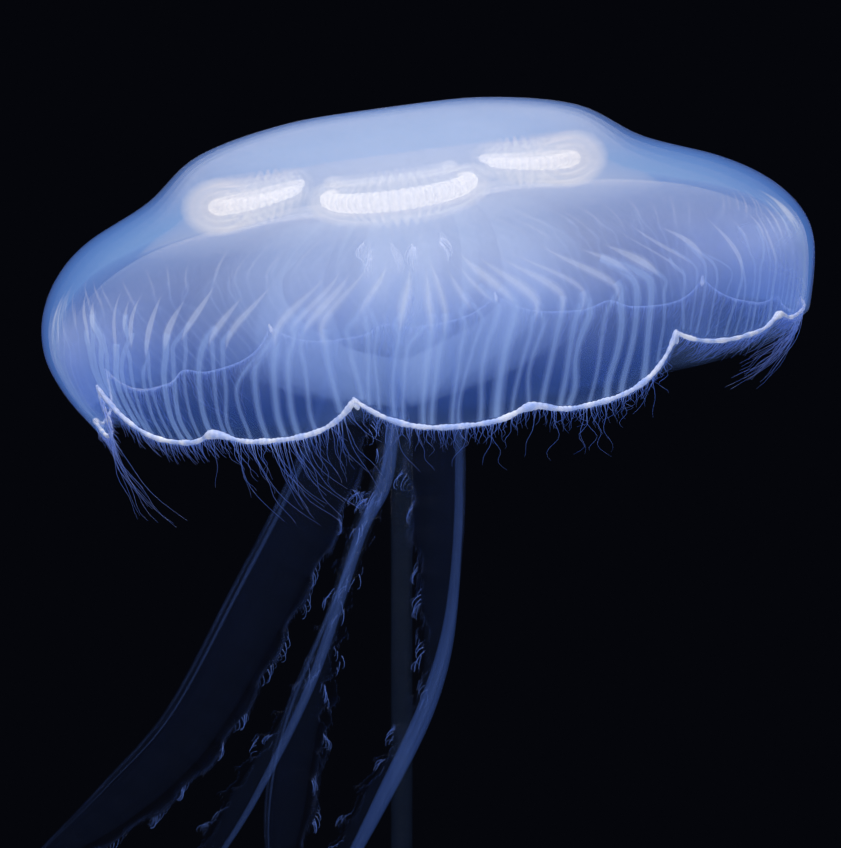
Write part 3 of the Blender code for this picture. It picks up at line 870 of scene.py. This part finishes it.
def make_frill_mass(material):
    """The closed cloud of folded frills that hangs from the stomach's floor round the mouth."""
    angles = circle(144)
    rows = line_at(FRILL_MASS, np.linspace(0, len(FRILL_MASS) - 1, 24))
    shift, reach, height = rows[:, :1], rows[:, 1:2], rows[:, 2:]
    twist = height * FRILL_TWIST
    folds = 1 + FRILL_FOLD * (np.sin(angles * 9 + twist) + 0.5 * np.sin(angles * 17 + 1 - twist))
    shape = Shape()
    for layer in FRILL_LAYERS:
        lowered = between(MOUTH_TOP, height, between(0.5, 1, layer))
        shape.add_rings(to_world(round_axis(layer * reach * folds, angles, lowered, shift)))
    shape.finish("frill_mass", material)


def canal_angle(lobe, share):
    return FIRST_NOTCH + (lobe + (share + 1) / 2) * LOBE_ANGLE


def canal_line(lobe, share, places):
    """Angles of a canal that crosses the lobe's wall at this share: fanned above, leaning below."""
    angle = canal_angle(lobe, share)
    fan = FAN * (1 - rise(places, *FAN_PLACES))
    twist = TWIST * rise(places, TWIST_PLACE, RIM_PLACE)
    return angle + twist * (1 - share ** 4) - fan * np.sin(GONADS * (angle - FIRST_GONAD)) / GONADS


def make_canals(material, thick_material):
    """Branching canals: each lobe's fine lines join in twos and threes into broad cloudy roots."""
    generator = random.Random(7)
    fine = Shape()
    broad = Shape()

    def canal(shape, lobe, shares, places, widths):
        angle = canal_line(lobe, shares, places)
        path = bell_points(places, angle, CANAL_DEPTH)
        outward = unit(bell_points(places, angle, CANAL_DEPTH - 0.2) - path)
        shape.add_soft_line(path, outward, widths * CANAL_FIRM[lobe])

    def fine_line(lobe, top, end, fork):
        bottom = float(rim_place(canal_line(lobe, end, np.array(RIM_PLACE)))) - 0.04
        steps = np.linspace(0, 1, 40)
        places = between(fork, bottom, steps)
        join = smooth((places - fork) / generator.uniform(0.6, 1.5))
        wave = generator.uniform(-CANAL_WAVE, CANAL_WAVE)
        wave = wave * np.sin(steps * math.pi * generator.uniform(1.5, 3.0))
        kink = generator.gauss(0, CANAL_KINK)
        kink = kink * np.exp(-((places - generator.uniform(*KINK_PLACES)) / 0.25) ** 2)
        width = generator.uniform(0.65, 1.3) * between(1.1, 0.80, smooth(steps * 1.4))
        # The canal in a lobe's middle widens towards the rim
        if abs(end) < 1 / CANALS_PER_LOBE:
            width = width * between(1.0, 1.5, smooth(steps * 1.2))
        shares = between(top, end, join) + (wave + kink) * smooth(steps * 4)
        canal(fine, lobe, shares, places, CANAL_WIDTH * width)

    for lobe in range(LOBES):
        ends = between(-LOBE_REACH, LOBE_REACH, (np.arange(CANALS_PER_LOBE) + 0.5) / CANALS_PER_LOBE)
        ends = [end + generator.uniform(-CANAL_STRAY, CANAL_STRAY) for end in ends.tolist()]
        while ends:
            group = ends[:generator.choice((1, 1, 2, 2, 3))]
            ends = ends[len(group):]
            fork = generator.uniform(*FORK_PLACES)
            top = generator.uniform(group[0], group[-1])
            for end in group:
                fine_line(lobe, top, end, fork)
            steps = np.linspace(0, 1, 20)
            places = between(generator.uniform(*ROOT_PLACES), fork + 0.5, steps)
            width = ROOT_WIDTH * generator.uniform(0.40, 1.0) * (0.75 + 0.16 * len(group))
            lean = generator.uniform(-0.03, 0.03) * np.sin(steps * math.pi)
            canal(broad, lobe, top + lean, places, 0.0001 + width * np.sin(math.pi * steps ** 1.2))
    fine.finish("fine_canals", material)
    broad.finish("canal_roots", thick_material)


def make_rim_band(material):
    """The bright band that follows every scallop of the rim."""
    count = COLUMNS * 5
    angles = FIRST_NOTCH + np.arange(count + 1) * TURN / count
    path = bell_points(rim_place(angles) + 0.02, angles, 0.5)
    turns = (angles - FIRST_NOTCH) / LOBE_ANGLE - 0.5
    firm = np.interp(turns % LOBES, np.arange(LOBES + 1), [*RIM_FIRM, RIM_FIRM[0]])
    knot = np.exp(-((lobe_share(angles)[0] / 0.06) ** 2))
    beads = np.abs(np.sin(angles * TENTACLES_PER_LOBE * LOBES / 6))
    beads = beads + np.sin(angles * 90) * np.sin(angles * 37)
    shape = Shape()
    shape.add_tube(path, RIM_RADIUS * firm * (0.85 + 0.28 * beads + 0.9 * knot), 6, firm=firm)
    shape.finish("rim_band", material)


def make_gonad(number, material, pouch_material):
    """One horseshoe of pleated tissue in its cloudy pouch."""
    steps = GONAD_PLEATS * 8
    turn = np.linspace(-GONAD_SWEEP[number], GONAD_SWEEP[number], steps + 1)
    angle = FIRST_GONAD + number * TURN / GONADS
    firm = GONAD_FIRM[number]

    def line(turn):
        outward = GONAD_CENTRES[number] + GONAD_REACH * np.cos(turn)
        sideways = GONAD_HALF_WIDTH * np.sin(turn)
        radius = np.hypot(outward, sideways)
        heading = angle + np.arctan2(sideways, outward)
        height = GONAD_HEIGHT + GONAD_SLOPE * radius + GONAD_TILT * np.minimum(-radius * np.cos(heading), 0)
        return round_axis(radius, heading, height, CROWN_SHIFT)

    middle = line(turn)
    along = unit(line(turn + 0.02) - line(turn - 0.02))
    across = unit(np.cross(along, UP))
    share = np.linspace(0, 1, steps + 1)
    fullness = between(GONAD_END[number], 1, np.sqrt(np.clip(np.sin(math.pi * share), 0, 1)))
    pleat = np.sin(share * GONAD_PLEATS * TURN + 1.3 * np.sin(share * 19))[:, None]
    around = circle(16)

    def add_body(shape, scale, fold):
        size = scale * fullness[:, None] * (1 + fold * pleat * (0.6 + 0.4 * np.cos(around)))
        wide = GONAD_THICK * size * np.cos(around)
        tall = GONAD_TALL * size * np.sin(around)
        points = rings(middle, across, np.broadcast_to(UP, middle.shape), wide, tall)
        shape.add_rings(to_world(points), pleat=0.5 + 0.5 * pleat, firm=firm)

    pouch = Shape()
    for layer in POUCH_LAYERS:
        add_body(pouch, GONAD_GLOW[number] * layer, POUCH_FOLD)
    pouch.finish(f"gonad_pouch_{number + 1}", pouch_material)
    shape = Shape()
    add_body(shape, GONAD_FILL[number], PLEAT_FOLD)
    generator = np.random.default_rng(70 + number)
    for _ in range(FILAMENTS_PER_GONAD):
        index = int(generator.integers(2, steps - 2))
        lean = generator.uniform(-1, 1)
        side = generator.choice((-1, 1))
        out = unit(across[index] * side + UP * lean + along[index] * generator.normal(0, 0.5))
        root = middle[index] + out * GONAD_TALL * 0.6 * fullness[index]
        reach = np.linspace(0, 1, 5)[:, None] * generator.uniform(0.006, 0.022)
        strand = to_world(root + out * reach + along[index] * reach ** 2 * generator.normal(0, 12))
        shape.add_tube(strand, FILAMENT_RADIUS * np.linspace(1, 0.5, 5), 3, pleat=0.9, firm=firm)
    shape.finish(f"gonad_pleats_{number + 1}", material, [f"gonad_{number + 1}"])


def arm_rows(number, name):
    """The arm's rows in metres, as in the solids."""
    angle = FIRST_ARM + number * math.pi / 2
    root = round_axis(ARM_ROOT_RADIUS, angle, MOUTH_BOTTOM, CROWN_SHIFT)
    below = root - ARM_ROOT_LENGTH * UP
    size = np.array(ARM_ROOT_SIZE) * BELL_RADIUS
    rows = [(*to_world(point), *size, ARM_ROOT_TURN[number % 2]) for point in (root, below)]
    for x, y, z, wide, thick, turn in ARMS[name]:
        spot = np.array(BELL_CENTRE) + np.array([x, y, z]) * BELL_RADIUS
        rows.append((*spot, wide * BELL_RADIUS, thick * BELL_RADIUS, turn))
    return rows


def make_arm(shape, strands, number, name, veil, root_jelly):
    """A firm midrib with two thin frilled lips, round a soft body of clear jelly."""
    rows = arm_rows(number, name)
    share = np.linspace(0, 1, ARM_STATIONS)
    data = line_at(rows, share * (len(rows) - 1))
    path, wide, thick = data[:, :3], data[:, 3], data[:, 4]
    length = np.concatenate([[0], np.cumsum(np.linalg.norm(np.diff(path, axis=0), axis=1))])
    along = unit(np.gradient(path, axis=0))
    flat = unit(np.cross(along, [0, 1.0, 0]))
    turn = np.radians(data[:, 5])[:, None]
    across = flat * np.cos(turn) + np.cross(along, flat) * np.sin(turn)
    upright = np.cross(along, across)
    side = MIDRIB_SIDE[name]
    rib = path + across * (side * wide * MIDRIB_PLACE)[:, None]
    rib_radius = MIDRIB_RADIUS * between(1.0, 0.32, share) * np.clip(share * 12 + 0.5, 0, 1)
    shape.add_tube(rib, rib_radius, 8, across=0.0, down=share)
    inset = path + across * (side * wide * STRAND_PLACE)[:, None]
    full = value_at(STRAND_FILL[name], share * (len(STRAND_FILL[name]) - 1)) * np.clip(share * 8, 0.05, 1)
    for layer in STRAND_LAYERS:
        strands.add_tube(inset, STRAND_RADIUS * layer * full, 12)
    around = circle(14)
    tapered = (1 - 0.9 * smooth((share / ARM_MILK_END - 0.35) / 0.65)) * (0.2 + 0.8 * smooth(share * 14))
    for title, material, part, swell in (
        ("arm_root", root_jelly, share < ARM_MILK_END, ARM_FILL * tapered),
        ("arm_veil", veil, share > ARM_MILK_END / 2, ARM_FILL * between(1.5, 0.7, smooth(share * 1.3))),
    ):
        size = (wide * np.minimum(swell, ARM_FILL))[part, None]
        depth = (thick * swell)[part, None]
        body = Shape()
        wide_at, tall_at = size * np.cos(around), -depth * np.sin(around)
        body.add_rings(rings(path[part], across[part], upright[part], wide_at, tall_at))
        body.finish(f"{title}_{name}", material)
    generator = np.random.default_rng(40 + number)
    columns = np.linspace(0, 1, LIP_COLUMNS)
    for lip in (-1, 1):
        phase = generator.uniform(0, 6.28)
        drift = np.cumsum(generator.normal(0, 0.16, ARM_STATIONS))
        wave = (TURN * length / RUFFLE_LENGTH + phase + drift)[:, None]
        ruffle = np.sin(wave) * columns ** 1.6 + 0.40 * np.sin(2.3 * wave + 1.1) * columns ** 3
        swell = (np.clip(share * 5, 0, 1) * (1 - 0.55 * share))[:, None]
        lift = lip * wide[:, None] * 0.20 * np.sin(columns * 2.2) + RUFFLE_DEPTH * swell * ruffle
        reach = LIP_REACH * wide[:, None] * columns + LIP_SCALLOP * np.cos(wave * 0.5) * columns ** 4 * swell
        pull = LIP_PULL * np.cos(wave) * columns ** 2
        points = rings(rib, -side * across, upright, reach, lift) + along[:, None] * pull[..., None]
        shape.add_grid(points, across=0.95 * columns, down=share[:, None])
        edge = points[:, -1]
        clumps = np.clip(np.sin(wave[:, 0] * 0.37 + lip), 0, 1) ** 4
        bend = np.linspace(0, HAIR_BEND, 6)[:, None]
        for index in range(6, ARM_STATIONS - 4):
            out = -across[index] * side * 0.8 + upright[index] * generator.uniform(-0.6, 0.6)
            out = unit(out + along[index] * generator.uniform(0.2, 0.9))
            size = (generator.uniform(0.0005, 0.0015) + 0.0032 * clumps[index]) * (1 - 0.5 * share[index])
            hair = edge[index] + out * size * np.sin(bend) + along[index] * size * 0.7 * (1 - np.cos(bend))
            firm = 0.94 + 0.06 * clumps[index]
            shape.add_tube(hair, HAIR_RADIUS * (1.2 - 0.3 * bend[:, 0]), 3, across=firm, down=share[index])


def make_arms(material, strand, veil, root_jelly):
    """Mouth column and four arms."""
    shape = Shape()
    strands = Shape()
    steps = np.linspace(0, 1, 22)[:, None]
    angles = circle(72)
    radius = between(MOUTH_TOP_RADIUS, MOUTH_BOTTOM_RADIUS * 0.94, smooth(steps * 1.2))
    radius = radius - MOUTH_WAIST * np.sin(steps * math.pi)
    reach = radius * (1 + 0.16 * np.cos(4 * (angles - FIRST_ARM)) + 0.03 * steps * np.sin(angles * 24))
    points = round_axis(reach, angles, between(MOUTH_TOP, MOUTH_BOTTOM, steps), CROWN_SHIFT)
    shape.add_rings(to_world(points), ends=(0,), across=0.09, down=0.0)
    for index, name in enumerate(ARMS):
        make_arm(shape, strands, index, name, veil, root_jelly)
    strands.finish("arm_strands", strand)
    nodes = [f"arm_{name}_{part}" for name in ARMS for part in (1, 2, 3)]
    shape.finish("mouth_and_arms", material, ["mouth", *nodes])


def make_tentacles(material):
    """Hair-fine tentacles all round the rim: a dense short fringe with longer ones among it."""
    generator = np.random.default_rng(5)
    shape = Shape()
    for lobe in range(LOBES):
        first, last, long_share, long_length, sweep_in, sweep_aside = TENTACLE_SWEEP[lobe]
        for index in range(TENTACLES_PER_LOBE):
            share = between(-0.97, 0.97, (index + generator.uniform(0.2, 0.8)) / TENTACLES_PER_LOBE)
            angle = canal_angle(lobe, share)
            root = bell_points(rim_place(angle) + 0.01, angle, 0.55)
            inward = unit((np.array(BELL_CENTRE) - root) * (1, 1, 0))
            beside = np.cross(inward, UP)
            long_one = generator.uniform() < long_share and first < share < last
            shortest, longest = (0.35 * long_length, long_length) if long_one else (0.003, 0.008)
            length = generator.uniform(shortest, longest)
            steps = np.linspace(0, 1, 12 if long_one else 7)
            drift = generator.uniform(0.5, 1.2) * sweep_in * length
            sway = (generator.normal(0, 0.20) + sweep_aside * generator.uniform(0.5, 1.2)) * length
            curl = generator.uniform(0.0003, 0.0015) * (1 if long_one else 0.3) * smooth(steps * 1.5)
            wave = steps * generator.uniform(5, 13) + generator.uniform(0, 6.28)
            path = (
                root
                - UP * (length * steps * (1 - 0.15 * steps))[:, None]
                + inward * (drift * steps ** 1.8 + curl * np.sin(wave))[:, None]
                + beside * (sway * steps ** 1.3 + curl * np.cos(wave * 1.1))[:, None]
            )
            radii = TENTACLE_RADIUS * (between(1.1, 0.55, steps) + 2.5 * np.exp(-steps * length / 0.0006))
            shape.add_tube(path, radii, 3, down=steps)
    shape.finish("tentacle_fringe", material)


def make_sense_organs(material):
    """A small club in each deep notch, hanging from the rim with its pale tip down."""
    shape = Shape()
    steps = np.linspace(0, 1, 9)
    radii = SENSE_RADIUS * (0.45 + 0.55 * smooth(steps * 1.6)) * np.sqrt(1 - (steps * 0.97) ** 6)
    for lobe in range(LOBES):
        angle = np.array(FIRST_NOTCH + lobe * LOBE_ANGLE)
        root = bell_points(rim_place(angle) - 0.03, angle, 0.5)
        tip = bell_points(rim_place(angle) + 0.25, angle, 0.5)
        shape.add_tube(root + (tip - root) * steps[:, None], radii, 10, firm=1.0)
    nodes = [f"sense_bead_{n + 1}" for n in range(LOBES)]
    shape.finish("sense_organs", material, nodes)


def repaint(node, material):
    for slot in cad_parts[node].material_slots:
        slot.material = material


def make_stage():
    """Round pale plinth top under the stand, open underneath."""
    rows = np.array([
        (PLINTH_HOLE, PLINTH_TOP), (PLINTH_RADIUS - 0.003, PLINTH_TOP), (PLINTH_RADIUS, PLINTH_TOP - 0.0025),
        (PLINTH_RADIUS, 0.003 - PLINTH_DEEP), (PLINTH_RADIUS - 0.005, -PLINTH_DEEP),
    ])
    turn = circle(128)
    parts = np.broadcast_arrays(rows[:, :1] * np.cos(turn), rows[:, :1] * np.sin(turn), rows[:, 1:])
    shape = Shape()
    shape.add_rings(np.stack(parts, -1), ends=(0,))
    new_item("floor", shape.mesh("floor", pale_floor()))


def aim(item, target):
    item.rotation_euler = (target - item.location).to_track_quat("-Z", "Y").to_euler()


def make_lights():
    for name, place, size, power in (
        ("key", (-0.5, -0.75, 0.95), 0.7, 7),
        ("fill", (0.8, -0.6, 0.35), 0.8, 3.8),
        ("top", (0.0, 0.15, 1.1), 0.8, 5.4),
        ("back", (0.1, 0.9, 0.5), 0.8, 4.6),
        ("low", (-0.1, -0.7, 0.06), 0.5, 1.4),
    ):
        light = bpy.data.lights.new(name, "AREA")
        light.size = size
        light.energy = power
        item = new_item(name, light)
        item.location = place
        aim(item, BELL_CENTRE + Vector((0, 0, 0.03)))
        item.visible_camera = False


def make_world():
    world = bpy.data.worlds.new("studio")
    world.use_nodes = True
    fill(world.node_tree, world.node_tree.nodes["Background"], {"Color": "05060B"})
    scene.world = world


def make_camera():
    lens = bpy.data.cameras.new("camera")
    lens.lens = LENS
    lens.clip_start = 0.01
    item = new_item("camera", lens)
    item.location = BELL_CENTRE + Vector((0, -CAMERA_DISTANCE, 0))
    aim(item, BELL_CENTRE + Vector((-AIM_LEFT, 0, -AIM_DOWN)))
    scene.camera = item


make_bell(clear_bell_jelly())
make_core(milky_jelly())
make_floor_lining(stomach_lining())
make_stomach(stomach_milk())
make_frill_mass(frill_milk())
make_canals(canal_milk(), root_milk())
rim = rim_tissue()
make_rim_band(rim)
gonad = gonad_tissue()
pouch = gonad_pouch()
for gonad_number in range(GONADS):
    make_gonad(gonad_number, gonad, pouch)
make_arms(arm_jelly(), strand_jelly(), arm_veil(), mouth_milk())
make_tentacles(tentacle_thread())
make_sense_organs(rim)
repaint("stand_base", powder_coated_steel())
repaint("stand_rod", clear_acrylic())
make_stage()
make_lights()
make_world()
make_camera()
scene.view_settings.view_transform = "Standard"
# Enough see-through surfaces for the layers of both walls and all that lies between them
scene.cycles.transparent_max_bounces = 32
